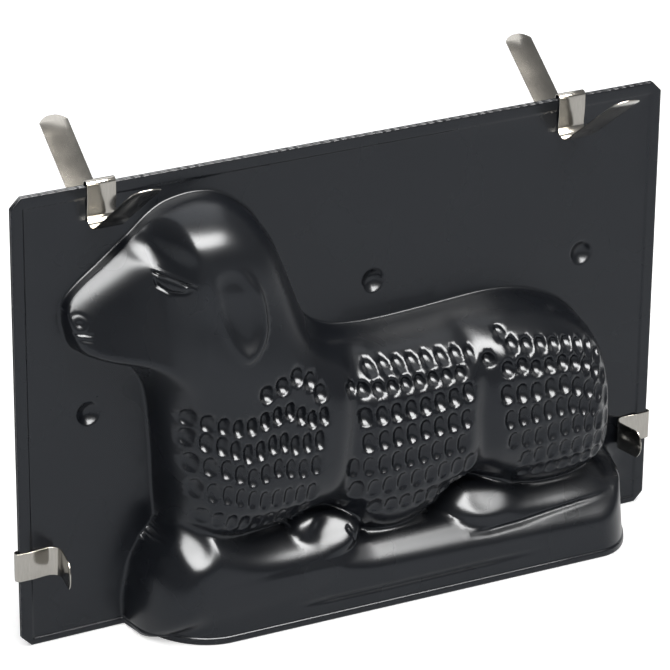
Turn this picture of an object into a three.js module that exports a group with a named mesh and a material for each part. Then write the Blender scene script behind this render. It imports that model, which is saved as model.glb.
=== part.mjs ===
// Lamb cake mould: two mirror-image halves pressed from sheet steel, each a flat flange with half of
// a lying lamb on a low pedestal drawn out of it, held together by four clips bent from spring strip.
// The pedestal is open underneath, which is where the batter goes in.
// Millimetres. +X runs along the flange, the front half lies towards -Y and +Z is up.
// The origin is on the parting plane, at the middle of the edge that the mould stands on.

import * as THREE from 'three';

// Flange of one half
const flangeLength = 310;
const flangeHeight = 204;
const sheet = 0.6;
const partingGap = 0.2;
const sideHem = 5;
const baseHem = 2.6;

// Lamb, measured along the flange from the muzzle and up from the edge that the mould stands on
const muzzleInset = 21;
const rumpInset = 29;
const lambLength = flangeLength - muzzleInset - rumpInset;
const lambHeight = 192;
const bodyDepth = 39;
const bodyRound = 20;
const headDepth = 33;
const headRound = 15;
const muzzleDepth = 20;
const muzzleRound = 7.7;
const bodyBlend = 12;
const headBlend = 8;
const muzzleEdge = 4;
const jawEdge = 8;
const wallDepth = 13;
const browDent = 3;
const browWidth = 5;
const fleeceValley = 3;
const valleyWidth = 5.5;
const earRise = 3.2;
const earEdge = 1.6;
const pocketDepth = 2.5;
const pocketPitch = 6.5;

// Folded legs
const forelegDepth = 36.8;
const forelegRound = 13.1;
const hindlegDepth = 37;
const hindlegRound = 12;
const legBlend = 6;
const legJoinBlend = 3;
const hoofRadius = 12;
const hoofEndRadius = 10;
const hoofSeat = 19;
const webDepth = 12;
const webHeight = 43;

// Pedestal under the lamb
const pedestalInset = 51.5;
const pedestalEndInset = 21.5;
const pedestalLength = flangeLength - pedestalInset - pedestalEndInset;
const pedestalDepth = 38.9;
const pedestalHeight = 20;
const chamferDepth = 10.5;
const kneeRise = 5.5;
const frontEndRound = 30;
const rearEndRound = 25;
const ledgeBlend = 6;
const chamferBlend = 4;

// Spring clips
const strip = 0.45;
const clipWidth = 13;
const clipGap = 0.25;
const nipReach = 12.5;
const bendRadius = 4.5;
const topLever = 45.5;
const sideLever = 11;
const leverTip = 3.2;
const leftClipInset = 40;
const rightClipInset = 46;
const sideClipHeight = 38;

// Bend angles of the clips, in degrees from straight down the flange
const topBendAngle = 127.4;
const sideBendAngle = 100;

// Slopes and exponents of the relief
const pedestalDraft = 0.06;
const pedestalSkew = 0.0225;
const ledgeSlope = 0.17;
const chamferSlope = 0.9;
const muzzleSlope = 1.05;
const jawSlope = 0.35;
const jawWidening = 0.1;
const wallPower = 0.45;
const legWallPower = 0.43;
const headWallPower = 0.42;
const frontEndPower = 2;
const rearEndPower = 2;

// Corners of the flange, and the grid that the pressed halves are drawn with
const cornerCut = 4.5;
const wallPitch = 5;
const wallStep = 4;
const wallClearance = 0.5;
const fieldPitch = 8.5;
const legPitch = 4.6;
const flangePitch = 24;
const stretchLimit = 6;

const flangeEnd = flangeLength / 2;
const muzzleX = muzzleInset - flangeEnd;

// Outlines and lines on the lamb: shares of the lamb's length from the muzzle and of its height
const lambShares = [
  [0, 0.781], [0.007, 0.813], [0.031, 0.844], [0.062, 0.875], [0.092, 0.906], [0.123, 0.938],
  [0.15, 0.969], [0.177, 0.99], [0.208, 1], [0.238, 1.002], [0.269, 0.995], [0.296, 0.977],
  [0.319, 0.953], [0.338, 0.927], [0.356, 0.891], [0.369, 0.849], [0.383, 0.802], [0.396, 0.755],
  [0.408, 0.716], [0.423, 0.68], [0.446, 0.648], [0.477, 0.628], [0.515, 0.619], [0.562, 0.616],
  [0.631, 0.619], [0.708, 0.625], [0.769, 0.629], [0.815, 0.625], [0.854, 0.614], [0.892, 0.594],
  [0.923, 0.57], [0.95, 0.536], [0.971, 0.5], [0.987, 0.453], [0.996, 0.401], [1, 0.344],
  [1, 0.286], [0.996, 0.234], [0.973, 0.188], [0.931, 0.161], [0.862, 0.151], [0.8, 0.161],
  [0.754, 0.185], [0.715, 0.207], [0.685, 0.207], [0.65, 0.168], [0.612, 0.135], [0.56, 0.12],
  [0.515, 0.125], [0.48, 0.155], [0.445, 0.205], [0.41, 0.222], [0.36, 0.2], [0.265, 0.19],
  [0.196, 0.198], [0.165, 0.221], [0.16, 0.26], [0.158, 0.313], [0.156, 0.375], [0.153, 0.443],
  [0.15, 0.495], [0.146, 0.547], [0.14, 0.583], [0.127, 0.615], [0.112, 0.635], [0.088, 0.651],
  [0.062, 0.664], [0.031, 0.685], [0.013, 0.706], [0.004, 0.74],
];
const forelegShares = [
  [0.106, 0], [0.101, 0.042], [0.102, 0.078], [0.108, 0.12], [0.115, 0.156], [0.127, 0.188],
  [0.138, 0.211], [0.156, 0.24], [0.169, 0.276], [0.192, 0.297], [0.223, 0.286], [0.254, 0.255],
  [0.304, 0.229], [0.381, 0.224], [0.469, 0.224], [0.5, 0.193], [0.512, 0.151], [0.5, 0.109],
  [0.469, 0.052], [0.4, 0.01], [0.323, 0], [0.208, -0.01], [0.131, -0.008],
];
const hindlegShares = [
  [0.635, 0.156], [0.65, 0.198], [0.681, 0.229], [0.715, 0.229], [0.754, 0.214], [0.823, 0.203],
  [0.9, 0.203], [0.946, 0.198], [0.973, 0.188], [1, 0.156], [1.01, 0.104], [1.012, 0.052],
  [0.977, 0.031], [0.862, 0.042], [0.746, 0.063], [0.677, 0.078], [0.646, 0.109],
];
const earShares = [
  [0.219, 0.875], [0.208, 0.839], [0.219, 0.766], [0.235, 0.703], [0.262, 0.656], [0.288, 0.667],
  [0.308, 0.714], [0.308, 0.781], [0.292, 0.839], [0.262, 0.875],
];
const shoulderValleyShares = [[0.477, 0.583], [0.465, 0.495], [0.458, 0.391], [0.45, 0.286], [0.446, 0.208]];
const flankValleyShares = [[0.696, 0.583], [0.712, 0.51], [0.704, 0.417], [0.708, 0.323], [0.723, 0.234]];
const browShares = [[0.115, 0.938], [0.142, 0.917], [0.169, 0.896]];
const hoofShares = [[0.4, 0.18], [0.462, 0.17]];
const muzzleRidgeShares = [[0.008, 0.813], [0.15, 0.969]];

// Fleece: rows of pockets pressed into the lamb's flank. Each row has a line, the number of pockets
// along it and half their height, all as shares.
const fleeceShares = [
  {
    count: 5,
    height: 0.023,
    line: [[0.292, 0.588], [0.32, 0.599], [0.351, 0.612], [0.375, 0.591], [0.391, 0.56]],
  },
  {
    count: 11,
    height: 0.024,
    line: [[0.177, 0.538], [0.256, 0.514], [0.298, 0.529], [0.333, 0.537], [0.377, 0.503], [0.397, 0.507]],
  },
  {
    count: 11,
    height: 0.026,
    line: [[0.177, 0.49], [0.216, 0.481], [0.266, 0.45], [0.317, 0.471], [0.339, 0.453], [0.388, 0.452]],
  },
  {
    count: 10,
    height: 0.026,
    line: [[0.182, 0.429], [0.225, 0.421], [0.272, 0.391], [0.313, 0.406], [0.356, 0.391], [0.382, 0.393]],
  },
  {
    count: 10,
    height: 0.026,
    line: [[0.188, 0.367], [0.23, 0.357], [0.287, 0.33], [0.329, 0.328], [0.378, 0.325]],
  },
  { count: 9, height: 0.022, line: [[0.196, 0.302], [0.245, 0.282], [0.285, 0.268], [0.375, 0.271]] },
  { count: 8, height: 0.016, line: [[0.501, 0.568], [0.555, 0.564], [0.657, 0.561], [0.685, 0.555]] },
  { count: 9, height: 0.017, line: [[0.456, 0.544], [0.478, 0.534], [0.528, 0.529], [0.658, 0.527]] },
  { count: 8, height: 0.024, line: [[0.478, 0.476], [0.584, 0.474], [0.64, 0.479], [0.668, 0.486]] },
  { count: 8, height: 0.026, line: [[0.482, 0.416], [0.663, 0.423]] },
  { count: 9, height: 0.026, line: [[0.458, 0.356], [0.656, 0.365]] },
  { count: 9, height: 0.025, line: [[0.467, 0.299], [0.675, 0.309]] },
  { count: 8, height: 0.021, line: [[0.477, 0.245], [0.658, 0.251]] },
  { count: 1, height: 0.016, line: [[0.718, 0.539]] },
  { count: 1, height: 0.014, line: [[0.75, 0.583]] },
  { count: 7, height: 0.017, line: [[0.763, 0.56], [0.816, 0.548], [0.878, 0.532], [0.921, 0.503]] },
  {
    count: 8,
    height: 0.02,
    line: [[0.747, 0.515], [0.774, 0.516], [0.801, 0.504], [0.853, 0.501], [0.9, 0.482], [0.923, 0.456]],
  },
  {
    count: 8,
    height: 0.025,
    line: [[0.742, 0.46], [0.795, 0.451], [0.849, 0.454], [0.888, 0.433], [0.927, 0.404]],
  },
  { count: 8, height: 0.026, line: [[0.748, 0.397], [0.817, 0.4], [0.865, 0.401], [0.916, 0.373]] },
  { count: 8, height: 0.025, line: [[0.757, 0.34], [0.808, 0.339], [0.875, 0.349], [0.928, 0.333]] },
  { count: 7, height: 0.023, line: [[0.786, 0.286], [0.853, 0.293], [0.933, 0.286]] },
  { count: 6, height: 0.018, line: [[0.792, 0.242], [0.909, 0.249]] },
];

// Steps of the grid into the relief from its edge, as shares of the body's rounding
const wallStepShares = [-0.008, 0.04, 0.13, 0.3, 0.58];
const earStepShares = [-0.1, 0.8, 1.6];

// Stretches over which the head passes into the body and the muzzle into the head
const neckShares = [0.807, 0.604];
const cheekShares = [0.015, 0.21];
const facetShares = [0.192, 0.138];
const kneeShares = [0.508, 0.362];
const webShares = [0.177, 0.962];

function alongLamb(share) {
  return muzzleX + share * lambLength;
}

function upLamb(share) {
  return share * lambHeight;
}

function onLamb(shares) {
  return shares.map(([along, up]) => new THREE.Vector2(alongLamb(along), upLamb(up)));
}

function mix(a, b, t) {
  return a + (b - a) * t;
}

// Smooth step from 0 at a to 1 at b; a may be the larger of the two
function ease(a, b, value) {
  const t = Math.min(Math.max((value - a) / (b - a), 0), 1);
  return t * t * (3 - 2 * t);
}

function softMax(a, b, blend) {
  const t = Math.min(Math.max(0.5 + (0.5 * (a - b)) / blend, 0), 1);
  return mix(b, a, t) + blend * t * (1 - t);
}

function softMin(a, b, blend) {
  return -softMax(-a, -b, blend);
}

// A closed smooth curve through the points of an outline, cut into short straight edges
function smoothOutline(points) {
  const places = points.map((point) => new THREE.Vector3(point.x, point.y, 0));
  const curve = new THREE.CatmullRomCurve3(places, true, 'catmullrom', 0.5);
  const steps = points.length * 3;
  const outline = [];
  for (let i = 0; i < steps; i += 1) {
    const place = curve.getPoint(i / steps);
    outline.push(new THREE.Vector2(place.x, place.y));
  }
  return outline;
}

// How far a place lies inside an outline, rounded off where opposite sides are equally near
function insetOf(x, z, outline) {
  let pull = 0;
  let inside = false;
  for (let i = 0; i < outline.length; i += 1) {
    const from = outline[i];
    const to = outline[(i + 1) % outline.length];
    const length = from.distanceTo(to);
    const alongX = (to.x - from.x) / length;
    const alongZ = (to.y - from.y) / length;
    const t = (x - from.x) * alongX + (z - from.y) * alongZ;
    const off = (x - from.x) * alongZ - (z - from.y) * alongX;
    const away = Math.max(off * off, (sheet * sheet) / 3600);
    const rest = length - t;
    pull += (rest / Math.sqrt(away + rest * rest) + t / Math.sqrt(away + t * t)) / away;
    if (from.y > z !== to.y > z && x < ((to.x - from.x) * (z - from.y)) / (to.y - from.y) + from.x) {
      inside = !inside;
    }
  }
  return inside ? Math.sqrt(2 / pull) : 0;
}

// Depth of a shape blown up inside an outline: steep at its edge and rounding to a full depth
function swell(inset, depth, round, power, blend) {
  return inset > 0 ? softMin(depth * Math.pow(inset / round, power), depth, blend) : 0;
}

// 1 on a line of points, falling to nothing a few widths away from it
function nearLine(x, z, line, width) {
  let nearest = Infinity;
  for (let i = 0; i + 1 < line.length; i += 1) {
    const runX = line[i + 1].x - line[i].x;
    const runZ = line[i + 1].y - line[i].y;
    const share = ((x - line[i].x) * runX + (z - line[i].y) * runZ) / (runX * runX + runZ * runZ);
    const t = Math.min(Math.max(share, 0), 1);
    nearest = Math.min(nearest, Math.hypot(x - line[i].x - t * runX, z - line[i].y - t * runZ));
  }
  return Math.exp(-Math.pow(nearest / width, 2));
}

const lambOutline = smoothOutline(onLamb(lambShares));
const forelegOutline = smoothOutline(onLamb(forelegShares));
const hindlegOutline = smoothOutline(onLamb(hindlegShares));
const earOutline = smoothOutline(onLamb(earShares));
const fleeceValleys = [onLamb(shoulderValleyShares), onLamb(flankValleyShares)];
const brow = onLamb(browShares);
const hoof = onLamb(hoofShares);
const muzzleRidge = onLamb(muzzleRidgeShares);

// Middles of the fleece's pockets, spaced evenly along their rows, with half their width and height
function pocketsAlong({ count, height, line }) {
  const row = onLamb(line);
  const runs = row.slice(1).map((end, i) => end.distanceTo(row[i]));
  const whole = runs.reduce((sum, run) => sum + run, 0);
  const pitch = count > 1 ? whole / (count - 1) : pocketPitch;
  const pockets = [];
  let passed = 0;
  let piece = 0;
  for (let i = 0; i < count; i += 1) {
    while (piece + 1 < runs.length && i * pitch > passed + runs[piece]) {
      passed += runs[piece];
      piece += 1;
    }
    const middle = runs.length ? row[piece].clone().lerp(row[piece + 1], (i * pitch - passed) / runs[piece]) : row[0];
    pockets.push({ middle, halfWidth: pitch / 2, halfHeight: upLamb(height) });
  }
  return pockets;
}

const pockets = fleeceShares.flatMap(pocketsAlong);

// 0 on the smooth skin and on the ridges of the fleece, 1 at the bottom of a pocket
function pocketShare(x, z) {
  let deepest = 0;
  for (const { middle, halfWidth, halfHeight } of pockets) {
    const across = (x - middle.x) / halfWidth;
    const up = (z - middle.y) / halfHeight;
    deepest = Math.max(deepest, 1 - across * across - up * up);
  }
  return deepest;
}

// The top of the muzzle is a flat facet that leans back to the parting plane, over a steeper jaw
function muzzleFacet(x, z) {
  const [start, end] = muzzleRidge;
  const length = start.distanceTo(end);
  const below = ((x - start.x) * (end.y - start.y) - (z - start.y) * (end.x - start.x)) / length;
  const upper = muzzleEdge + muzzleSlope * below;
  return softMin(upper, jawEdge + jawSlope * below + jawWidening * (x - muzzleX), legJoinBlend);
}

// Head, neck and trunk, without the legs
function trunkDepth(x, z) {
  const inset = insetOf(x, z, lambOutline);
  if (inset === 0) {
    return 0;
  }
  const body = ease(upLamb(neckShares[0]), upLamb(neckShares[1]), z);
  const cheek = ease(alongLamb(cheekShares[0]), alongLamb(cheekShares[1]), x);
  const full = mix(mix(muzzleDepth, headDepth, cheek), bodyDepth, body);
  const round = mix(mix(muzzleRound, headRound, cheek), bodyRound, body);
  const power = mix(headWallPower, wallPower, body);
  let depth = swell(inset, full, round, power, mix(headBlend, bodyBlend, body));
  const facet = ease(alongLamb(facetShares[0]), alongLamb(facetShares[1]), x);
  depth = mix(depth, softMin(depth, muzzleFacet(x, z), legJoinBlend), facet);
  const shallow = ease(0, wallDepth, depth);
  depth -= browDent * nearLine(x, z, brow, browWidth) * shallow;
  for (const valley of fleeceValleys) {
    depth -= fleeceValley * nearLine(x, z, valley, valleyWidth) * shallow;
  }
  depth -= pocketDepth * pocketShare(x, z) * shallow;
  const earInset = insetOf(x, z, earOutline);
  depth += earRise * (1 - Math.exp(-earInset / earEdge));
  return Math.max(depth, 0);
}

function forelegsDepth(x, z) {
  return swell(insetOf(x, z, forelegOutline), forelegDepth, forelegRound, legWallPower, legBlend);
}

function hindlegDepthAt(x, z) {
  return swell(insetOf(x, z, hindlegOutline), hindlegDepth, hindlegRound, legWallPower, legBlend);
}

// The tucked front hoof: a short tapering rod with round sides
function hoofDepth(x, z) {
  const [start, end] = hoof;
  const runX = end.x - start.x;
  const runZ = end.y - start.y;
  const share = ((x - start.x) * runX + (z - start.y) * runZ) / (runX * runX + runZ * runZ);
  const t = Math.min(Math.max(share, 0), 1);
  const radius = mix(hoofRadius, hoofEndRadius, t);
  const off = Math.hypot(x - start.x - t * runX, z - start.y - t * runZ) / radius;
  return off < 1 ? hoofSeat + radius * Math.sqrt(1 - off * off) : hoofSeat * (1 - 4 * (off - 1));
}

// Rounding of the pedestal's end, from 0 at the end to 1 where the front runs straight
function endRounding(inset, round, power) {
  const share = Math.min(Math.max(1 - inset / round, 0), 1);
  return Math.pow(1 - Math.pow(share, power), 1 / power);
}

function pedestalDepthAt(x, z) {
  const start = pedestalInset - flangeEnd;
  const inset = x - start;
  const left = endRounding(inset, frontEndRound, frontEndPower);
  const right = endRounding(pedestalLength - inset - pedestalDraft * z, rearEndRound, rearEndPower);
  const straight = pedestalDepth + pedestalSkew * (inset - pedestalLength / 2);
  const face = straight * left * right - pedestalDraft * z;
  const knee = ease(alongLamb(kneeShares[0]), alongLamb(kneeShares[1]), x);
  const over = z - pedestalHeight - kneeRise * knee;
  const chamfer = pedestalDepth - over / chamferSlope;
  const run = chamferDepth * (1 - knee);
  const ledge = pedestalDepth - run - (over - chamferSlope * run) / ledgeSlope;
  return Math.max(softMin(face, softMin(chamfer, ledge, ledgeBlend), chamferBlend), 0);
}

// Between the legs the sheet stays a web's depth away from the parting plane, so that the batter
// can pass from the pedestal into the lamb
function webDepthAt(x, z) {
  const [start, end] = webShares.map(alongLamb);
  const along = ease(start, start + legBlend, x) * ease(end, end - legBlend, x);
  return webDepth * along * ease(webHeight + legBlend, webHeight, z);
}

// The deeper of two shapes, rounded where they meet above the flange
function joined(a, b) {
  const blend = legJoinBlend * ease(0, legJoinBlend, Math.min(a, b));
  return blend > 0 ? softMax(a, b, blend) : Math.max(a, b);
}

// The pedestal's outline, for the grid to follow
const pedestalStart = pedestalInset - flangeEnd;
const pedestalEnd = pedestalStart + pedestalLength;
const chamferRise = chamferDepth * (chamferSlope - ledgeSlope);
const kneeFoot = pedestalHeight + kneeRise + ledgeSlope * pedestalDepth;
const rearFoot = pedestalHeight + chamferRise + ledgeSlope * pedestalDepth;
const pedestalOutline = [
  new THREE.Vector2(pedestalEnd, 0),
  new THREE.Vector2(pedestalEnd - pedestalDraft * rearFoot, rearFoot),
  new THREE.Vector2(pedestalStart, kneeFoot),
  new THREE.Vector2(pedestalStart, 0),
];

// How far the pressed relief stands out from the flange at one place
function reliefDepth(x, z) {
  let depth = joined(trunkDepth(x, z), pedestalDepthAt(x, z));
  depth = joined(depth, webDepthAt(x, z));
  depth = joined(depth, forelegsDepth(x, z));
  depth = joined(depth, hoofDepth(x, z));
  return joined(depth, hindlegDepthAt(x, z));
}

// How steep the relief is, as rise over run
function reliefSlope(x, z) {
  const step = sheet / 2;
  const slopeX = (reliefDepth(x + step, z) - reliefDepth(x - step, z)) / (2 * step);
  const slopeZ = (reliefDepth(x, z + step) - reliefDepth(x, z - step)) / (2 * step);
  return Math.hypot(slopeX, slopeZ);
}

// Places in order round the flange inside its hem; the lower side is closer set where the relief rises
function borderPlaces() {
  const endX = flangeEnd - sideHem - sheet;
  const lowZ = baseHem + sheet;
  const highZ = flangeHeight - sideHem - sheet;
  const border = [new THREE.Vector2(-endX, lowZ)];
  const scan = sheet / 3;
  let last = border[0];
  let lastDepth = 0;
  for (let x = -endX + scan; x < endX - scan; x += scan) {
    const depth = reliefDepth(x, lowZ);
    const starts = depth > 0 !== lastDepth > 0;
    if (starts || Math.abs(depth - lastDepth) > wallStep || x - last.x > fieldPitch) {
      const edge = starts && depth > 0 ? x - scan : x;
      last = new THREE.Vector2(edge, lowZ);
      lastDepth = depth;
      border.push(last);
    }
  }
  const sidePieces = Math.round((highZ - lowZ) / flangePitch);
  const topPieces = Math.round((2 * endX) / flangePitch);
  for (let i = 0; i < sidePieces; i += 1) {
    border.push(new THREE.Vector2(endX, mix(lowZ, highZ, i / sidePieces)));
  }
  for (let i = 0; i < topPieces; i += 1) {
    border.push(new THREE.Vector2(mix(endX, -endX, i / topPieces), highZ));
  }
  for (let i = 0; i < sidePieces; i += 1) {
    border.push(new THREE.Vector2(-endX, mix(highZ, lowZ, i / sidePieces)));
  }
  return border;
}

// Places just outside an outline and at a few steps inside it, wherever a wall rises along it
function placesAlong(outline, steps, pitch) {
  const found = steps.map(() => []);
  let carried = 0;
  outline.forEach((from, i) => {
    const to = outline[(i + 1) % outline.length];
    const length = from.distanceTo(to);
    const inwardX = (from.y - to.y) / length;
    const inwardZ = (to.x - from.x) / length;
    while (carried < length) {
      const place = from.clone().lerp(to, carried / length);
      const column = steps.map(
        (step) => new THREE.Vector2(place.x - step * inwardX, place.y - step * inwardZ),
      );
      const [foot, , wall] = column.map(({ x, y }) => reliefDepth(x, y));
      if (wall - foot > wallStep / 2 || foot < sheet) {
        column.forEach((spot, k) => found[k].push(spot));
      }
      carried += pitch;
    }
    carried -= length;
  });
  return found;
}

// Places in staggered rows over the flange, set closer on the relief than beside it
function fieldPlaces(pitch, onRelief, top = flangeHeight) {
  const found = [];
  const rowPitch = (pitch * Math.sqrt(3)) / 2;
  for (let row = 1; row * rowPitch < top; row += 1) {
    const start = (row % 2 ? pitch / 2 : pitch) - flangeEnd;
    for (let column = 0; start + column * pitch < flangeEnd; column += 1) {
      const shiftX = (pitch / 12) * Math.sin(row * 12.9 + column * 8.3);
      const shiftZ = (pitch / 12) * Math.cos(row * 7.3 - column * 5.7);
      const place = new THREE.Vector2(start + column * pitch + shiftX, row * rowPitch + shiftZ);
      if (reliefDepth(place.x, place.y) > 0 === onRelief) {
        found.push(place);
      }
    }
  }
  return found;
}

// Places at the foot of the relief, found along rows and columns of the flange
function footPlaces(pitch) {
  const found = [];
  const search = (from, to) => {
    const pieces = Math.round(from.distanceTo(to) / pitch);
    let before = from;
    for (let i = 1; i <= pieces * 4; i += 1) {
      const after = from.clone().lerp(to, i / (pieces * 4));
      const rises = reliefDepth(after.x, after.y) > 0;
      if (reliefDepth(before.x, before.y) > 0 !== rises) {
        let [flat, raised] = rises ? [before, after] : [after, before];
        while (flat.distanceTo(raised) > sheet / 10) {
          const middle = flat.clone().lerp(raised, 0.5);
          [flat, raised] = reliefDepth(middle.x, middle.y) > 0 ? [flat, middle] : [middle, raised];
        }
        found.push(flat);
      }
      before = after;
    }
  };
  for (let z = pitch; z < flangeHeight; z += pitch) {
    search(new THREE.Vector2(-flangeEnd, z), new THREE.Vector2(flangeEnd, z));
  }
  for (let x = pitch - flangeEnd; x < flangeEnd; x += pitch) {
    search(new THREE.Vector2(x, 0), new THREE.Vector2(x, flangeHeight));
  }
  return found;
}

// All the places of a half inside its hem, the border ones first; none lies too near another
function gridPlaces(border) {
  const kept = [...border];
  const endX = flangeEnd - sideHem - sheet;
  const lowZ = baseHem + sheet;
  const highZ = flangeHeight - sideHem - sheet;
  const add = (places, clearance) => {
    for (const place of places) {
      const spare = Math.min(endX - Math.abs(place.x), place.y - lowZ, highZ - place.y);
      if (spare > clearance && kept.every((other) => other.distanceTo(place) > clearance)) {
        kept.push(place);
      }
    }
  };
  for (const { middle, halfWidth, halfHeight } of pockets) {
    add([middle], wallClearance);
    const sides = [-halfWidth, halfWidth].map((step) => new THREE.Vector2(middle.x + step, middle.y));
    const ends = [-halfHeight, halfHeight].map((step) => new THREE.Vector2(middle.x, middle.y + step));
    add([...sides, ...ends], pocketPitch / 3);
  }
  const wallSteps = wallStepShares.map((share) => share * bodyRound);
  const outlines = [lambOutline, pedestalOutline, forelegOutline, hindlegOutline];
  const columns = outlines.map((outline) => placesAlong(outline, wallSteps, wallPitch));
  const earSteps = earStepShares.map((share) => share * earEdge);
  const ear = placesAlong(earOutline, earSteps, wallPitch);
  wallSteps.forEach((step, k) => {
    for (const column of columns) {
      add(column[k], Math.min(Math.max(step, wallClearance), fieldPitch / 2));
    }
    add(ear[k] ?? [], wallClearance);
  });
  add(footPlaces(wallPitch), wallPitch / 2);
  add(fieldPlaces(legPitch, true, webHeight), legPitch / 2);
  add(fieldPlaces(fieldPitch, true), fieldPitch / 2);
  add(fieldPlaces(flangePitch, false), flangePitch / 2);
  return kept;
}

// One triangle of the net with the circle through its corners
function netTriangle(places, a, b, c) {
  const [p, q, r] = [places[a], places[b], places[c]];
  const qx = q.x - p.x;
  const qz = q.y - p.y;
  const rx = r.x - p.x;
  const rz = r.y - p.y;
  const area = 2 * (qx * rz - qz * rx);
  const qq = qx * qx + qz * qz;
  const rr = rx * rx + rz * rz;
  const x = (rz * qq - qz * rr) / area;
  const z = (qx * rr - rx * qq) / area;
  const centre = new THREE.Vector2(p.x + x, p.y + z);
  return { corners: area > 0 ? [a, b, c] : [a, c, b], centre, reach: Math.hypot(x, z) };
}

// The net of nearest neighbours over all places: each new place breaks up the triangles round it
function netOver(places) {
  const far = flangeLength * 20;
  const count = places.length;
  const all = [...places];
  all.push(new THREE.Vector2(-far, -far), new THREE.Vector2(far, -far), new THREE.Vector2(0, far));
  let net = [netTriangle(all, count, count + 1, count + 2)];
  places.forEach((place, index) => {
    const rim = new Map();
    net = net.filter(({ corners, centre, reach }) => {
      if (place.distanceTo(centre) >= reach) {
        return true;
      }
      for (let k = 0; k < 3; k += 1) {
        const from = corners[k];
        const to = corners[(k + 1) % 3];
        if (!rim.delete(to * all.length + from)) {
          rim.set(from * all.length + to, [from, to]);
        }
      }
      return false;
    });
    for (const [from, to] of rim.values()) {
      net.push(netTriangle(all, from, to, index));
    }
  });
  return net.map(({ corners }) => corners).filter((corners) => Math.max(...corners) < count);
}

// The grid of a half: the net inside the hem, then the fold line and the outer edge round it.
// Each corner of the flange is cut off at an angle.
function hemmedGrid() {
  const border = borderPlaces();
  const places = gridPlaces(border);
  const triangles = netOver(places);
  const endX = flangeEnd - sideHem - sheet;
  const lowZ = baseHem + sheet;
  const innerCount = places.length;
  const outward = border.map(({ x, y }) => [
    Math.abs(x) >= endX ? Math.sign(x) : 0,
    y <= lowZ ? -1 : Number(y >= flangeHeight - sideHem - sheet),
  ]);
  border.forEach(({ x, y }, i) => {
    const [sideX, sideZ] = outward[i];
    places.push(new THREE.Vector2(x + sideX * sheet, y + sideZ * sheet));
  });
  const rimLoop = [];
  border.forEach((place, i) => {
    const next = (i + 1) % border.length;
    const fold = innerCount + i;
    const nextFold = innerCount + next;
    triangles.push([i, fold, nextFold], [i, nextFold, next]);
    const [sideX, sideZ] = outward[i];
    const x = sideX === 0 ? place.x : sideX * flangeEnd;
    const z = sideZ === 0 ? place.y : (flangeHeight * (1 + sideZ)) / 2;
    const cut = [new THREE.Vector2(x - sideX * cornerCut, z), new THREE.Vector2(x, z - sideZ * cornerCut)];
    const ends = sideX === sideZ ? cut.reverse() : cut;
    const isCorner = sideX !== 0 && sideZ !== 0;
    rimLoop.push(isCorner ? ends : [new THREE.Vector2(x, z)]);
  });
  const rimIndex = [];
  for (const ends of rimLoop) {
    rimIndex.push(ends.map((place) => places.push(place) - 1));
  }
  border.forEach((place, i) => {
    const next = (i + 1) % border.length;
    const [first, last] = [rimIndex[i][0], rimIndex[i][rimIndex[i].length - 1]];
    if (first !== last) {
      triangles.push([innerCount + i, first, last]);
    }
    triangles.push([innerCount + i, last, rimIndex[next][0]]);
    triangles.push([innerCount + i, rimIndex[next][0], innerCount + next]);
  });
  return { places, triangles, innerCount, rim: rimIndex.flat() };
}

// One closed shell of sheet over the grid; side is -1 for the front half and 1 for the back one
function pressedHalf({ places, triangles, innerCount, rim }, side) {
  const corners = [];
  places.forEach(({ x, y: z }, i) => {
    const depth = reliefDepth(x, z);
    const stretch = Math.min(Math.hypot(1, reliefSlope(x, z)), stretchLimit);
    const fold = i < innerCount ? 0 : sheet * stretch;
    const outer = partingGap / 2 + sheet + depth + fold;
    const inner = partingGap / 2 + Math.max(depth + sheet - sheet * stretch, 0);
    corners.push([x, side * outer, z], [x, side * inner, z]);
  });
  const faces = [];
  for (const [a, b, c] of triangles) {
    faces.push([2 * a, 2 * b, 2 * c], [2 * a + 1, 2 * c + 1, 2 * b + 1]);
  }
  rim.forEach((from, i) => {
    const to = rim[(i + 1) % rim.length];
    faces.push([2 * from, 2 * from + 1, 2 * to + 1], [2 * from, 2 * to + 1, 2 * to]);
  });
  return bodyFrom(corners, faces, side > 0);
}

// A geometry from shared corners and triangles; turned swaps the side that the triangles face
function bodyFrom(corners, triangles, turned) {
  const geometry = new THREE.BufferGeometry();
  geometry.setAttribute('position', new THREE.Float32BufferAttribute(corners.flat(), 3));
  geometry.setIndex(triangles.flatMap(([a, b, c]) => (turned ? [a, c, b] : [a, b, c])));
  geometry.computeVertexNormals();
  return geometry;
}

// Half of a clip's centre line, from the top of its roll to the tip of its lever, as places across
// the parting plane (y) and out from the flange's edge (z), each with the strip's width there
function clipStations(bend, lever) {
  const rollRadius = partingGap / 2 + 2 * sheet + clipGap + strip / 2;
  const nipY = partingGap / 2 + sheet + clipGap + strip / 2;
  const stations = [];
  for (let step = 0; step <= 3; step += 1) {
    const angle = (step * Math.PI) / 6;
    const y = rollRadius * Math.sin(angle);
    stations.push({ y, z: rollRadius * Math.cos(angle), width: clipWidth });
  }
  stations.push({ y: rollRadius, z: -sideHem - sheet, width: clipWidth });
  const bendSteps = Math.round(bend / 14);
  const turn = (bend * Math.PI) / 180;
  for (let step = 0; step <= bendSteps; step += 1) {
    const angle = (turn * step) / bendSteps;
    const y = nipY + bendRadius * (1 - Math.cos(angle));
    stations.push({ y, z: -nipReach - bendRadius * Math.sin(angle), width: clipWidth });
  }
  const start = stations[stations.length - 1];
  const tipRadius = (clipWidth * clipWidth) / (8 * leverTip) + leverTip / 2;
  const tipShares = [0, 0.35, 0.65, 0.88, 0.98];
  for (const share of tipShares) {
    const along = lever + share * leverTip;
    const fromCentre = tipRadius - leverTip + share * leverTip;
    stations.push({
      y: start.y + along * Math.sin(turn),
      z: start.z - along * Math.cos(turn),
      width: 2 * Math.sqrt(tipRadius * tipRadius - fromCentre * fromCentre),
    });
  }
  return stations;
}

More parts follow.
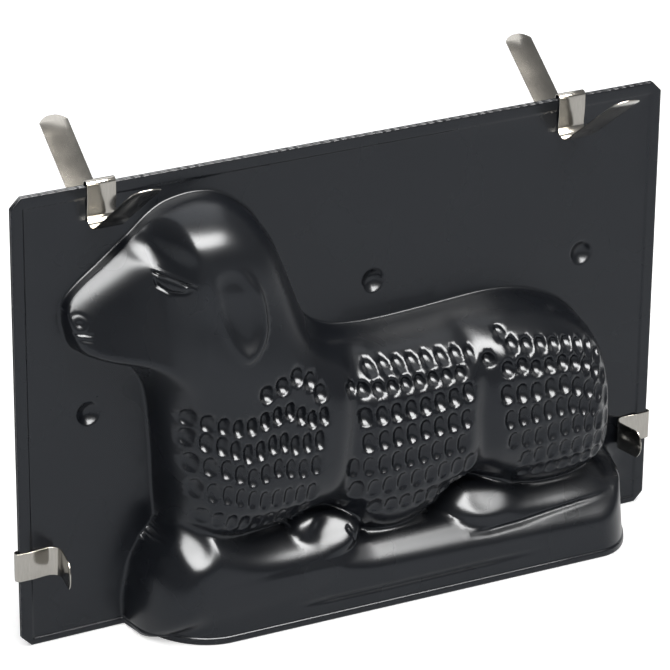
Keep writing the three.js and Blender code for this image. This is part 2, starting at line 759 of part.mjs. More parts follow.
// A clip bent from flat strip, straddling the flange's edge; its width runs along X
function springClip(bend, lever) {
  const half = clipStations(bend, lever);
  const mirrored = half.slice(1).map((station) => ({ ...station, y: -station.y }));
  const line = [...mirrored.reverse(), ...half];
  const corners = [];
  line.forEach(({ y, z, width }, i) => {
    const before = line[Math.max(i - 1, 0)];
    const after = line[Math.min(i + 1, line.length - 1)];
    const inward = new THREE.Vector2(y - before.y, z - before.z).normalize();
    const onward = new THREE.Vector2(after.y - y, after.z - z).normalize();
    const heading = inward.clone().add(onward).normalize();
    const reach = strip / 2 / Math.max(heading.dot(i === 0 ? onward : inward), 0.5);
    for (const [sideX, sideN] of [[-1, -1], [1, -1], [1, 1], [-1, 1]]) {
      corners.push([(sideX * width) / 2, y - sideN * reach * heading.y, z + sideN * reach * heading.x]);
    }
  });
  const triangles = [];
  const quad = (a, b, c, d) => {
    triangles.push([a, b, c], [a, c, d]);
  };
  for (let i = 0; i + 1 < line.length; i += 1) {
    for (let k = 0; k < 4; k += 1) {
      const next = (k + 1) % 4;
      quad(4 * i + k, 4 * i + next, 4 * (i + 1) + next, 4 * (i + 1) + k);
    }
  }
  const last = 4 * (line.length - 1);
  quad(3, 2, 1, 0);
  quad(last, last + 1, last + 2, last + 3);
  return bodyFrom(corners, triangles, true);
}

function coatedSteel() {
  return new THREE.MeshStandardMaterial({ color: 0x25262a, roughness: 0.36, metalness: 0.25 });
}

function springSteel() {
  return new THREE.MeshStandardMaterial({ color: 0xb3aea4, roughness: 0.32, metalness: 1 });
}

const group = new THREE.Group();

const grid = hemmedGrid();
for (const [name, side] of [['front_half', -1], ['back_half', 1]]) {
  const half = new THREE.Mesh(pressedHalf(grid, side), coatedSteel());
  half.name = name;
  group.add(half);
}

for (const [name, x] of [
  ['top_clip_left', leftClipInset - flangeEnd],
  ['top_clip_right', flangeEnd - rightClipInset],
]) {
  const clip = new THREE.Mesh(springClip(topBendAngle, topLever), springSteel());
  clip.name = name;
  clip.position.set(x, 0, flangeHeight);
  group.add(clip);
}

for (const [name, side] of [['side_clip_left', -1], ['side_clip_right', 1]]) {
  const clip = new THREE.Mesh(springClip(sideBendAngle, sideLever), springSteel());
  clip.name = name;
  clip.position.set(side * flangeEnd, 0, sideClipHeight);
  clip.rotation.y = (side * Math.PI) / 2;
  group.add(clip);
}

export default group;
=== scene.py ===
import math

import bpy
import numpy as np
from mathutils import Matrix, Vector
from mathutils.geometry import delaunay_2d_cdt
from mathutils.kdtree import KDTree


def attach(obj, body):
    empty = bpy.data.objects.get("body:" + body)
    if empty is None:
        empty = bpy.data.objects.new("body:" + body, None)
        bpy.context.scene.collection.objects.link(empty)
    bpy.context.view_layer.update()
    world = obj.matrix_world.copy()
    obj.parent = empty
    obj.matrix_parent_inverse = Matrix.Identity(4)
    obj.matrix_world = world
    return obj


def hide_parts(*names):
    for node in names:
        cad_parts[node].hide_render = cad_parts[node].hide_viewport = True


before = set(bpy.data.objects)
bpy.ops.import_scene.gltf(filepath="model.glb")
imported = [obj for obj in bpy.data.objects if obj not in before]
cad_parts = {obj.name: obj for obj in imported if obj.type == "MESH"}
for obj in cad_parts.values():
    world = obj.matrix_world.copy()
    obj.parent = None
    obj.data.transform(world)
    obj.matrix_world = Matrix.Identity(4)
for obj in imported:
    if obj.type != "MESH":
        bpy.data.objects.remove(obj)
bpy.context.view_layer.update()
print("frame loaded:", sorted(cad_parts))

mm = 0.001


# Small helpers for numbers and outlines

def mix(a, b, t):
    return a + (b - a) * t


def ease(a, b, value):
    t = np.clip((value - a) / (b - a), 0, 1)
    return t * t * (3 - 2 * t)


def softMax(a, b, blend):
    t = np.clip(0.5 + 0.5 * (a - b) / blend, 0, 1)
    return mix(b, a, t) + blend * t * (1 - t)


def softMin(a, b, blend):
    return -softMax(-a, -b, blend)


def smoothOutline(points, pieces=3):
    corners = np.asarray(points, float)
    p, q = np.roll(corners, 1, 0), corners
    r, s = np.roll(corners, -1, 0), np.roll(corners, -2, 0)
    rows = []
    for k in range(pieces):
        t = k / pieces
        bend, twist = 2 * p - 5 * q + 4 * r - s, 3 * q - p - 3 * r + s
        curve = 2 * q + (r - p) * t + bend * t**2 + twist * t**3
        rows.append(curve / 2)
    return np.stack(rows, 1).reshape(-1, 2)


def insetOf(x, z, outline):
    # distance inside an outline, rounded where opposite sides are equally near; 0 outside
    result = np.zeros(x.shape)
    low, high = outline.min(0), outline.max(0)
    near = (x > low[0]) & (x < high[0]) & (z > low[1]) & (z < high[1])
    px, pz = x[near], z[near]
    pull = np.zeros(px.shape)
    inside = np.zeros(px.shape, bool)
    for (ax, az), (bx, bz) in zip(outline, np.roll(outline, -1, 0)):
        length = math.hypot(bx - ax, bz - az)
        ux, uz = (bx - ax) / length, (bz - az) / length
        t = (px - ax) * ux + (pz - az) * uz
        off = (px - ax) * uz - (pz - az) * ux
        away = np.maximum(off * off, 1e-4)
        rest = length - t
        pull += (rest / np.sqrt(away + rest * rest) + t / np.sqrt(away + t * t)) / away
        if az != bz:
            crosses = (az > pz) != (bz > pz)
            inside ^= crosses & (px < (bx - ax) * (pz - az) / (bz - az) + ax)
    result[near] = np.where(inside, np.sqrt(2 / np.maximum(pull, 1e-9)), 0)
    return result


def toLine(x, z, line):
    # distance to a line of points, and how far along it the nearest place is, from 0 to 1
    nearest = np.full(x.shape, 1e6)
    share = np.zeros(x.shape)
    pieces = len(line) - 1
    for k in range(pieces):
        (ax, az), (bx, bz) = line[k], line[k + 1]
        ex, ez = bx - ax, bz - az
        t = np.clip(((x - ax) * ex + (z - az) * ez) / (ex * ex + ez * ez), 0, 1)
        away = np.hypot(x - ax - t * ex, z - az - t * ez)
        closer = away < nearest
        nearest = np.where(closer, away, nearest)
        share = np.where(closer, (k + t) / pieces, share)
    return nearest, share


def nearLine(x, z, line, width):
    return np.exp(-(toLine(x, z, line)[0] / width) ** 2)


def fineLine(x, z, line, width):
    # like nearLine, but it runs out to nothing at both ends of the line
    away, share = toLine(x, z, line)
    return np.exp(-(away / width) ** 2) * np.clip(4 * share * (1 - share) * 1.6, 0, 1)


# The flange that each half has round its relief

flange = {
    "length": 310,
    "height": 204,
    "sheet": 0.6,
    "gap": 0.2,  # between the two halves
    "sideHem": 5,
    "baseHem": 2.6,
    "hemFold": 0.7,  # how far the step of the hem takes to rise
    "edgeRound": 0.7,
    "cornerCut": 4.5,
    "footRound": 1.6,  # fillet where the relief rises from the flange
    "footRise": 0.7,
    "footBlend": 0.5,
    "mostStretch": 6,  # how far a steep wall may thicken the sheet along the depth
    "edgeShare": 0.35,  # thickness left at the very edge
}
flangeEnd = flange["length"] / 2

# The lamb: full depths, how soon the walls round over, and outlines as shares of its length and height

lamb = {
    "start": 21 - flangeEnd,
    "length": 260,
    "height": 192,
    "bodyDepth": 39,
    "bodyRound": 20,
    "headDepth": 33,
    "headRound": 15,
    "muzzleDepth": 20,
    "muzzleRound": 7.7,
    "bodyBlend": 12,
    "headBlend": 8,
    "wallPower": 0.45,
    "headWallPower": 0.42,
    "muzzleEdge": 4,
    "muzzleSlope": 1.05,
    "jawEdge": 6.8,
    "jawSlope": 0.35,
    "jawWidening": 0.1,
    "browDent": 3,
    "browWidth": 5,
    "valley": 3,
    "valleyWidth": 5.5,
    "earRise": 4.6,
    "earFrontRise": 1,
    "earRim": 1.8,
    "earTop": (171, 157),
    "earAcross": [(0.215, 0.75), (0.3, 0.77)],
    "earEdge": 1.6,
    "earHollow": 2.5,
    "neck": (0.807, 0.604),
    "cheek": (0.015, 0.21),
    "facet": (0.192, 0.138),
    "outline": [
        (0, 0.781), (0.007, 0.813), (0.031, 0.844), (0.062, 0.875), (0.092, 0.906), (0.123, 0.938),
        (0.15, 0.969), (0.177, 0.99), (0.208, 1), (0.238, 1.002), (0.269, 0.995), (0.296, 0.977),
        (0.319, 0.953), (0.338, 0.927), (0.356, 0.891), (0.369, 0.849), (0.383, 0.802), (0.396, 0.755),
        (0.408, 0.716), (0.423, 0.68), (0.446, 0.648), (0.477, 0.628), (0.515, 0.619), (0.562, 0.616),
        (0.631, 0.619), (0.708, 0.625), (0.769, 0.629), (0.815, 0.625), (0.854, 0.614), (0.892, 0.594),
        (0.923, 0.57), (0.95, 0.536), (0.971, 0.5), (0.987, 0.453), (0.996, 0.401), (1, 0.344),
        (1, 0.286), (0.996, 0.234), (0.973, 0.188), (0.931, 0.161), (0.862, 0.151), (0.8, 0.161),
        (0.754, 0.185), (0.715, 0.207), (0.685, 0.207), (0.65, 0.168), (0.612, 0.135), (0.56, 0.12),
        (0.515, 0.125), (0.48, 0.155), (0.445, 0.205), (0.41, 0.222), (0.36, 0.2), (0.265, 0.19),
        (0.196, 0.198), (0.165, 0.221), (0.16, 0.26), (0.158, 0.313), (0.156, 0.375), (0.153, 0.443),
        (0.15, 0.495), (0.146, 0.547), (0.14, 0.583), (0.127, 0.615), (0.112, 0.635), (0.088, 0.651),
        (0.062, 0.664), (0.031, 0.685), (0.013, 0.706), (0.004, 0.74),
    ],
    "ear": [
        (0.211, 0.887), (0.2, 0.851), (0.211, 0.778), (0.227, 0.715), (0.254, 0.668), (0.28, 0.679),
        (0.3, 0.726), (0.3, 0.793), (0.284, 0.851), (0.254, 0.887),
    ],
    "shoulderValley": [(0.477, 0.583), (0.465, 0.495), (0.458, 0.391), (0.45, 0.286), (0.446, 0.208)],
    "flankValley": [(0.696, 0.583), (0.712, 0.51), (0.704, 0.417), (0.708, 0.323), (0.723, 0.234)],
    "brow": [(0.115, 0.938), (0.142, 0.917), (0.169, 0.896)],
    "muzzleRidge": [(0.008, 0.813), (0.15, 0.969)],
}

legs = {
    "foreDepth": 36.8,
    "foreRound": 13.1,
    "hindDepth": 37,
    "hindRound": 12,
    "wallPower": 0.43,
    "blend": 6,
    "join": 3,
    "hoof": [(0.4, 0.18), (0.462, 0.17)],
    "hoofRadius": 12,
    "hoofEndRadius": 10,
    "hoofSeat": 19,
    "webDepth": 12,
    "webHeight": 43,
    "web": (0.177, 0.962),
    "foreOutline": [
        (0.106, 0), (0.101, 0.042), (0.102, 0.078), (0.108, 0.12), (0.115, 0.156), (0.127, 0.188),
        (0.138, 0.211), (0.156, 0.24), (0.169, 0.276), (0.192, 0.297), (0.223, 0.286), (0.254, 0.255),
        (0.304, 0.229), (0.381, 0.224), (0.469, 0.224), (0.5, 0.193), (0.512, 0.151), (0.5, 0.109),
        (0.469, 0.052), (0.4, 0.01), (0.323, 0), (0.208, -0.01), (0.131, -0.008),
    ],
    "hindOutline": [
        (0.635, 0.156), (0.65, 0.198), (0.681, 0.229), (0.715, 0.229), (0.754, 0.214), (0.823, 0.203),
        (0.9, 0.203), (0.946, 0.198), (0.973, 0.188), (1, 0.156), (1.01, 0.104), (1.012, 0.052),
        (0.977, 0.031), (0.862, 0.042), (0.746, 0.063), (0.677, 0.078), (0.646, 0.109),
    ],
}

pedestal = {
    "inset": 51.5,
    "length": 237,
    "depth": 38.9,
    "height": 20,
    "kneeRise": 5.5,
    "knee": (0.508, 0.362),
    "frontEndRound": 30,
    "rearEndRound": 25,
    "endPower": 2,
    "blend": 6,
    "edgeBlend": 4,
    "draft": 0.06,
    "skew": 0.0225,
    "ledgeSlope": 0.17,
    "chamferSlope": 0.9,
    "chamferDepth": 10.5,
}


def alongLamb(share):
    return lamb["start"] + share * lamb["length"]


def upLamb(share):
    return share * lamb["height"]


def onLamb(shares):
    return np.array([(alongLamb(a), upLamb(b)) for a, b in shares])


lambOutline = smoothOutline(onLamb(lamb["outline"]))
earOutline = smoothOutline(onLamb(lamb["ear"]))
foreOutline = smoothOutline(onLamb(legs["foreOutline"]))
hindOutline = smoothOutline(onLamb(legs["hindOutline"]))


def swell(inset, depth, rounding, power, blend):
    rising = depth * (np.maximum(inset, 1e-9) / rounding) ** power
    return np.where(inset > 0, softMin(rising, depth + 0 * rising, blend), 0)


# The fleece: rows of pockets pressed into the lamb's flank. Each row gives the number of pockets,
# half their height and a line that they are spaced along, all as shares of the lamb's length and height.

fleece = {
    "depth": 3.3,
    "lowDepth": 1.75,
    "between": (0.28, 0.53),  # heights from low depth to full depth
    "pitch": 6.5,
    "fill": 0.94,
    "rim": 0.1,
    "wallDepth": 13,
    "rows": [
        (5, 0.023, [(0.292, 0.588), (0.32, 0.599), (0.351, 0.612), (0.375, 0.591), (0.391, 0.56)]),
        (
            11,
            0.024,
            [(0.177, 0.538), (0.256, 0.514), (0.298, 0.529), (0.333, 0.537), (0.377, 0.503), (0.397, 0.507)],
        ),
        (
            11,
            0.026,
            [(0.177, 0.49), (0.216, 0.481), (0.266, 0.45), (0.317, 0.471), (0.339, 0.453), (0.388, 0.452)],
        ),
        (
            10,
            0.026,
            [(0.182, 0.429), (0.225, 0.421), (0.272, 0.391), (0.313, 0.406), (0.356, 0.391), (0.382, 0.393)],
        ),
        (10, 0.026, [(0.188, 0.367), (0.23, 0.357), (0.287, 0.33), (0.329, 0.328), (0.378, 0.325)]),
        (9, 0.022, [(0.196, 0.302), (0.245, 0.282), (0.285, 0.268), (0.375, 0.271)]),
        (8, 0.016, [(0.501, 0.568), (0.555, 0.564), (0.657, 0.561), (0.685, 0.555)]),
        (9, 0.017, [(0.456, 0.544), (0.478, 0.534), (0.528, 0.529), (0.658, 0.527)]),
        (8, 0.024, [(0.478, 0.476), (0.584, 0.474), (0.64, 0.479), (0.668, 0.486)]),
        (8, 0.026, [(0.482, 0.416), (0.663, 0.423)]),
        (9, 0.026, [(0.458, 0.356), (0.656, 0.365)]),
        (9, 0.025, [(0.467, 0.299), (0.675, 0.309)]),
        (8, 0.021, [(0.477, 0.245), (0.658, 0.251)]),
        (1, 0.016, [(0.718, 0.539)]),
        (1, 0.014, [(0.75, 0.583)]),
        (8, 0.017, [(0.763, 0.56), (0.816, 0.548), (0.878, 0.532), (0.921, 0.503), (0.938, 0.48)]),
        (
            9,
            0.02,
            [
                (0.747, 0.515), (0.774, 0.516), (0.801, 0.504), (0.853, 0.501), (0.9, 0.482), (0.923, 0.456),
                (0.946, 0.43),
            ],
        ),
        (
            9,
            0.025,
            [(0.742, 0.46), (0.795, 0.451), (0.849, 0.454), (0.888, 0.433), (0.927, 0.404), (0.953, 0.38)],
        ),
        (8, 0.026, [(0.748, 0.397), (0.817, 0.4), (0.865, 0.401), (0.916, 0.373)]),
        (9, 0.025, [(0.757, 0.34), (0.808, 0.339), (0.875, 0.349), (0.928, 0.333), (0.955, 0.326)]),
        (8, 0.023, [(0.786, 0.286), (0.853, 0.293), (0.933, 0.286), (0.957, 0.283)]),
        (7, 0.018, [(0.792, 0.242), (0.909, 0.249), (0.934, 0.25)]),
    ],
}


def pocketsAlong(count, height, line):
    row = np.array(onLamb(line))
    runs = np.hypot(*np.diff(row, axis=0).T)
    passed = np.concatenate([[0], np.cumsum(runs)])
    pitch = passed[-1] / (count - 1) if count > 1 else fleece["pitch"]
    at = np.arange(count) * pitch
    middleX, middleZ = np.interp(at, passed, row[:, 0]), np.interp(at, passed, row[:, 1])
    return [(x, z, pitch / 2, upLamb(height)) for x, z in zip(middleX, middleZ)]


pockets = [pocket for row in fleece["rows"] for pocket in pocketsAlong(*row)]


def pocketShare(x, z):
    # 0 on the smooth skin, 1 along the bottom of a pocket
    deepest = np.zeros(x.shape)
    for middleX, middleZ, halfWidth, halfHeight in pockets:
        near = (np.abs(x - middleX) < halfWidth * 1.2) & (np.abs(z - middleZ) < halfHeight * 1.2)
        across = np.abs(x[near] - middleX) / (halfWidth * fleece["fill"])
        up = np.abs(z[near] - middleZ) / halfHeight
        bowl = 1 - across**2 - up**2.4
        deepest[near] = np.maximum(deepest[near], softMax(bowl, 0 * bowl, fleece["rim"]))
    return deepest


def trunkDepth(x, z):
    inset = insetOf(x, z, lambOutline)
    body = ease(upLamb(lamb["neck"][0]), upLamb(lamb["neck"][1]), z)
    cheek = ease(alongLamb(lamb["cheek"][0]), alongLamb(lamb["cheek"][1]), x)
    full = mix(mix(lamb["muzzleDepth"], lamb["headDepth"], cheek), lamb["bodyDepth"], body)
    rounding = mix(mix(lamb["muzzleRound"], lamb["headRound"], cheek), lamb["bodyRound"], body)
    power = mix(lamb["headWallPower"], lamb["wallPower"], body)
    depth = swell(inset, full, rounding, power, mix(lamb["headBlend"], lamb["bodyBlend"], body))
    (ax, az), (bx, bz) = onLamb(lamb["muzzleRidge"])
    below = ((x - ax) * (bz - az) - (z - az) * (bx - ax)) / math.hypot(bx - ax, bz - az)
    upper = lamb["muzzleEdge"] + lamb["muzzleSlope"] * below
    jaw = lamb["jawEdge"] + lamb["jawSlope"] * below + lamb["jawWidening"] * (x - alongLamb(0))
    flat = softMin(depth, softMin(upper, jaw, legs["join"]), legs["join"])
    depth = mix(depth, flat, ease(alongLamb(lamb["facet"][0]), alongLamb(lamb["facet"][1]), x))
    shallow = ease(0, fleece["wallDepth"], depth)
    depth = depth - lamb["browDent"] * nearLine(x, z, onLamb(lamb["brow"]), lamb["browWidth"]) * shallow
    for name in ("shoulderValley", "flankValley"):
        depth = depth - lamb["valley"] * nearLine(x, z, onLamb(lamb[name]), lamb["valleyWidth"]) * shallow
    high = ease(upLamb(fleece["between"][0]), upLamb(fleece["between"][1]), z)
    depth = depth - mix(fleece["lowDepth"], fleece["depth"], high) * pocketShare(x, z) * shallow
    return np.where(inset > 0, np.maximum(depth, 0), 0)


def hoofDepth(x, z):
    line = onLamb(legs["hoof"])
    away, t = toLine(x, z, line)
    radius = mix(legs["hoofRadius"], legs["hoofEndRadius"], t)
    off = away / radius
    seat = legs["hoofSeat"]
    dome = seat + radius * np.sqrt(np.maximum(1 - off * off, 0))
    return np.where(off < 1, dome, seat * (1 - 4 * (off - 1)))


def endRounding(inset, rounding):
    share = np.clip(1 - inset / rounding, 0, 1)
    return (1 - share ** pedestal["endPower"]) ** (1 / pedestal["endPower"])


def pedestalDepth(x, z):
    inset = x - (pedestal["inset"] - flangeEnd)
    left = endRounding(inset, pedestal["frontEndRound"])
    right = endRounding(pedestal["length"] - inset - pedestal["draft"] * z, pedestal["rearEndRound"])
    straight = pedestal["depth"] + pedestal["skew"] * (inset - pedestal["length"] / 2)
    face = straight * left * right - pedestal["draft"] * z
    knee = ease(alongLamb(pedestal["knee"][0]), alongLamb(pedestal["knee"][1]), x)
    over = z - pedestal["height"] - pedestal["kneeRise"] * knee
    chamfer = pedestal["depth"] - over / pedestal["chamferSlope"]
    run = pedestal["chamferDepth"] * (1 - knee)
    ledge = pedestal["depth"] - run - (over - pedestal["chamferSlope"] * run) / pedestal["ledgeSlope"]
    return np.maximum(softMin(face, softMin(chamfer, ledge, pedestal["blend"]), pedestal["edgeBlend"]), 0)


def webDepth(x, z):
    start, end = alongLamb(legs["web"][0]), alongLamb(legs["web"][1])
    soft = legs["blend"]
    along = ease(start, start + soft, x) * ease(end, end - soft, x)
    return legs["webDepth"] * along * ease(legs["webHeight"] + soft, legs["webHeight"], z)


def joined(a, b):
    blend = legs["join"] * ease(0, legs["join"], np.minimum(a, b))
    return np.where(blend > 0, softMax(a, b, np.maximum(blend, 1e-6)), np.maximum(a, b))


def plainRelief(x, z):
    depth = joined(trunkDepth(x, z), pedestalDepth(x, z))
    depth = joined(depth, webDepth(x, z))
    power, blend = legs["wallPower"], legs["blend"]
    fore = swell(insetOf(x, z, foreOutline), legs["foreDepth"], legs["foreRound"], power, blend)
    depth = joined(joined(depth, fore), hoofDepth(x, z))
    hind = swell(insetOf(x, z, hindOutline), legs["hindDepth"], legs["hindRound"], power, blend)
    return np.maximum(joined(depth, hind), 0)


# The face and the other fine forms: (line, height, width); a negative height is pressed in

carving = {
    "eyeMiddle": (-93.4, 162.8),
    "eyeSize": (4.6, 2.9),
    "eyeTilt": -0.28,
    "eyeBulge": 1.7,
    "lines": [
        ([(-99.5, 169), (-96, 167.4), (-92, 166.3), (-86, 165)], 0.7, 0.7),
        ([(-99, 167.5), (-96, 166), (-92, 164.9), (-86, 163.6)], -1.3, 0.6),
        ([(-98.4, 165.4), (-97.4, 161.6), (-94, 159.2), (-90.4, 160.4), (-87.4, 163)], -1.0, 0.8),
        ([(-133.4, 144.6), (-129, 143.8), (-124.5, 143)], -0.45, 0.7),
        ([(-133, 142), (-128.5, 141.4), (-125, 140.6)], -0.3, 0.7),
        ([(-44, 9.6), (0, 9.4), (80, 10.1)], -0.8, 1.2),
        ([(-15, 38.5), (-13.5, 35.5), (-11.5, 31.5)], -1.1, 0.9),
        ([(43, 23.2), (54, 22.8), (69, 23.4), (84, 24.8), (99, 25.9), (117, 26.8)], -1.3, 1),
    ],
    # tilted flats on the knees and the hoof: (middle, depth there, rise along x and z, reach)
    "flats": [
        ((-88, 43.5), 25, (0.45, -0.85), (8, 8)),
        ((-20, 37), 30, (0.15, -0.88), (12, 7)),
        ((57, 36), 28.5, (0.1, -0.88), (14, 6)),
    ],
    "nostril": (-129.8, 147.8),
    "nostrilHole": 1.3,
    "nostrilRing": 4,
    "nostrilDent": 0.65,
}


def fineRelief(x, z):
    depth = plainRelief(x, z)
    earInset = insetOf(x, z, earOutline)
    (frontX, frontZ), (rearX, rearZ) = onLamb(lamb["earAcross"])
    runX, runZ = rearX - frontX, rearZ - frontZ
    rear = np.clip(((x - frontX) * runX + (z - frontZ) * runZ) / (runX**2 + runZ**2), 0, 1)
    rise = mix(lamb["earFrontRise"], lamb["earRise"], rear) * ease(*lamb["earTop"], z)
    depth = depth + rise * (1 - np.exp(-earInset / lamb["earEdge"])) * (depth > 0)
    depth = depth - lamb["earHollow"] * ease(lamb["earRim"], lamb["earRim"] + 4.5, earInset)
    for (middleX, middleZ), flatDepth, (riseX, riseZ), (reachX, reachZ) in carving["flats"]:
        flat = flatDepth + riseX * (x - middleX) + riseZ * (z - middleZ)
        away = ((x - middleX) / reachX) ** 2 + ((z - middleZ) / reachZ) ** 2
        depth = mix(depth, flat, 0.85 * np.exp(-(away**2)) * ease(6, 16, depth))
    for line, height, width in carving["lines"]:
        depth = depth + height * fineLine(x, z, line, width) * ease(2, 8, depth)
    turn = carving["eyeTilt"]
    ex, ez = x - carving["eyeMiddle"][0], z - carving["eyeMiddle"][1]
    across = (ex * math.cos(turn) + ez * math.sin(turn)) / carving["eyeSize"][0]
    up = (ez * math.cos(turn) - ex * math.sin(turn)) / carving["eyeSize"][1]
    depth = depth + carving["eyeBulge"] * np.maximum(1 - across**2 - up**2, 0) ** 0.7
    away = np.hypot(x - carving["nostril"][0], z - carving["nostril"][1]) / carving["nostrilHole"]
    ring = carving["nostrilRing"] / carving["nostrilHole"]
    nostril = np.exp(-(away**2)) + 0.35 * np.exp(-((away - ring) * 1.6) ** 2)
    depth = depth - carving["nostrilDent"] * nostril * ease(2, 6, depth)
    return depth


# Round dents that line the two halves up; they are pressed the same way through both

dents = {"radius": 5.5, "depth": 2.8, "places": [(12.4, 136.3), (117.0, 129.5), (-122.0, 102.1)]}


def dentDepth(x, z):
    deepest = np.zeros(x.shape)
    for middleX, middleZ in dents["places"]:
        share = np.hypot(x - middleX, z - middleZ) / dents["radius"]
        deepest = np.maximum(deepest, softMax(1 - share**2, 0 * share, 0.08))
    return deepest * dents["depth"]


def hemRise(x, z):
    # the second layer of sheet, folded to the front along every edge
    side, top, base = flangeEnd - flange["sideHem"], flange["height"] - flange["sideHem"], flange["baseHem"]
    inside = np.minimum(np.minimum(side - np.abs(x), top - z), z - base)
    return ease(flange["hemFold"], 0, inside)


# One net of places that both halves share: close where the shape is fine, wide on the bare flange

net = {
    "rimPlaces": (150, 230),  # up each end and along the top
    "rimPitch": 4,  # along the bottom, beside the pedestal
    "rimPitchBelow": 0.7,  # along the bottom, under the pedestal
    "edgePitch": 1,
    "hemPlaces": (380, 200),  # along and up
    "wallSteps": [-1.6, -0.8, -0.25, 0.06, 0.3, 0.8, 1.6, 2.8],
    "wallPitch": 1.5,
    "steepRise": 3,  # an outline gets close places where the relief rises more than this
    "earSteps": [-0.5, 0.5, 1.5, 2.8],
    "earPitch": 1.2,
    "dentPitch": 0.8,
    "dentReach": 7,
    "woolField": (-104, 122, 40, 124),
    "fleecePitch": 0.6,
    "carvedPitch": 0.45,
    "flatPitch": 0.9,
    "reliefPitch": 1.6,
    "flangePitch": 7,
    "hemSteps": [-0.5, 0, 0.35, 0.7, 1.2],
    "edgeSteps": [0, 0.12, 0.35, 0.7, 1.2],
}


def places(outline, step, pitch):
    ends = np.roll(outline, -1, 0)
    lengths = np.hypot(*(ends - outline).T)
    total = np.concatenate([[0], np.cumsum(lengths)])
    at = np.arange(0, total[-1], pitch)
    k = np.clip(np.searchsorted(total, at, "right") - 1, 0, len(outline) - 1)
    t = ((at - total[k]) / lengths[k])[:, None]
    along = (ends[k] - outline[k]) / lengths[k][:, None]
    inward = np.stack([-along[:, 1], along[:, 0]], 1)
    if signedArea(outline) < 0:
        inward = -inward
    return outline[k] + t * (ends[k] - outline[k]) + step * inward, inward


def signedArea(outline):
    x, z = outline.T
    return 0.5 * np.sum(x * np.roll(z, -1) - z * np.roll(x, -1))


def hexField(pitch, lowX, highX, lowZ, highZ):
    rows = []
    rowPitch = pitch * math.sqrt(3) / 2
    for row in range(int((highZ - lowZ) / rowPitch) + 1):
        x = np.arange(lowX + (row % 2) * pitch / 2, highX, pitch)
        rows.append(np.stack([x, np.full(x.shape, lowZ + row * rowPitch)], 1))
    return np.concatenate(rows)


def roundField(middle, reach, pitch):
    field = hexField(pitch, middle[0] - reach, middle[0] + reach, middle[1] - reach, middle[1] + reach)
    return field[np.hypot(*(field - middle).T) < reach]


def addClear(kept, candidates, clearance):
    if not len(candidates):
        return kept
    tree = KDTree(len(kept))
    for i, (x, z) in enumerate(kept):
        tree.insert((x, z, 0), i)
    tree.balance()
    spare = [tree.find((x, z, 0))[2] > clearance for x, z in candidates]
    return np.concatenate([kept, candidates[np.array(spare)]])


def rimOutline():
    # the outer edge of the flange, anticlockwise, with cut corners; close set under the pedestal
    end, high, cut = flangeEnd, flange["height"], flange["cornerCut"]
    pitch = net["rimPitch"]
    upEnd, alongTop = net["rimPlaces"]
    low = list(np.arange(-end + cut + pitch, pedestal["inset"] - end - 8, pitch))
    start = low[-1] + 1
    low += list(np.arange(start, pedestal["inset"] + pedestal["length"] - end + 8, net["rimPitchBelow"]))
    low += list(np.arange(low[-1] + pitch, end - cut - 3, pitch))
    bottom = [(-end + cut, 0)] + [(x, 0) for x in low] + [(end - cut, 0)]
    right = [(end, z) for z in np.linspace(cut, high - cut, upEnd)]
    top = [(x, high) for x in np.linspace(end - cut, -end + cut, alongTop)]
    left = [(-end, z) for z in np.linspace(high - cut, cut, upEnd)]
    return np.array(bottom + right + top + left)


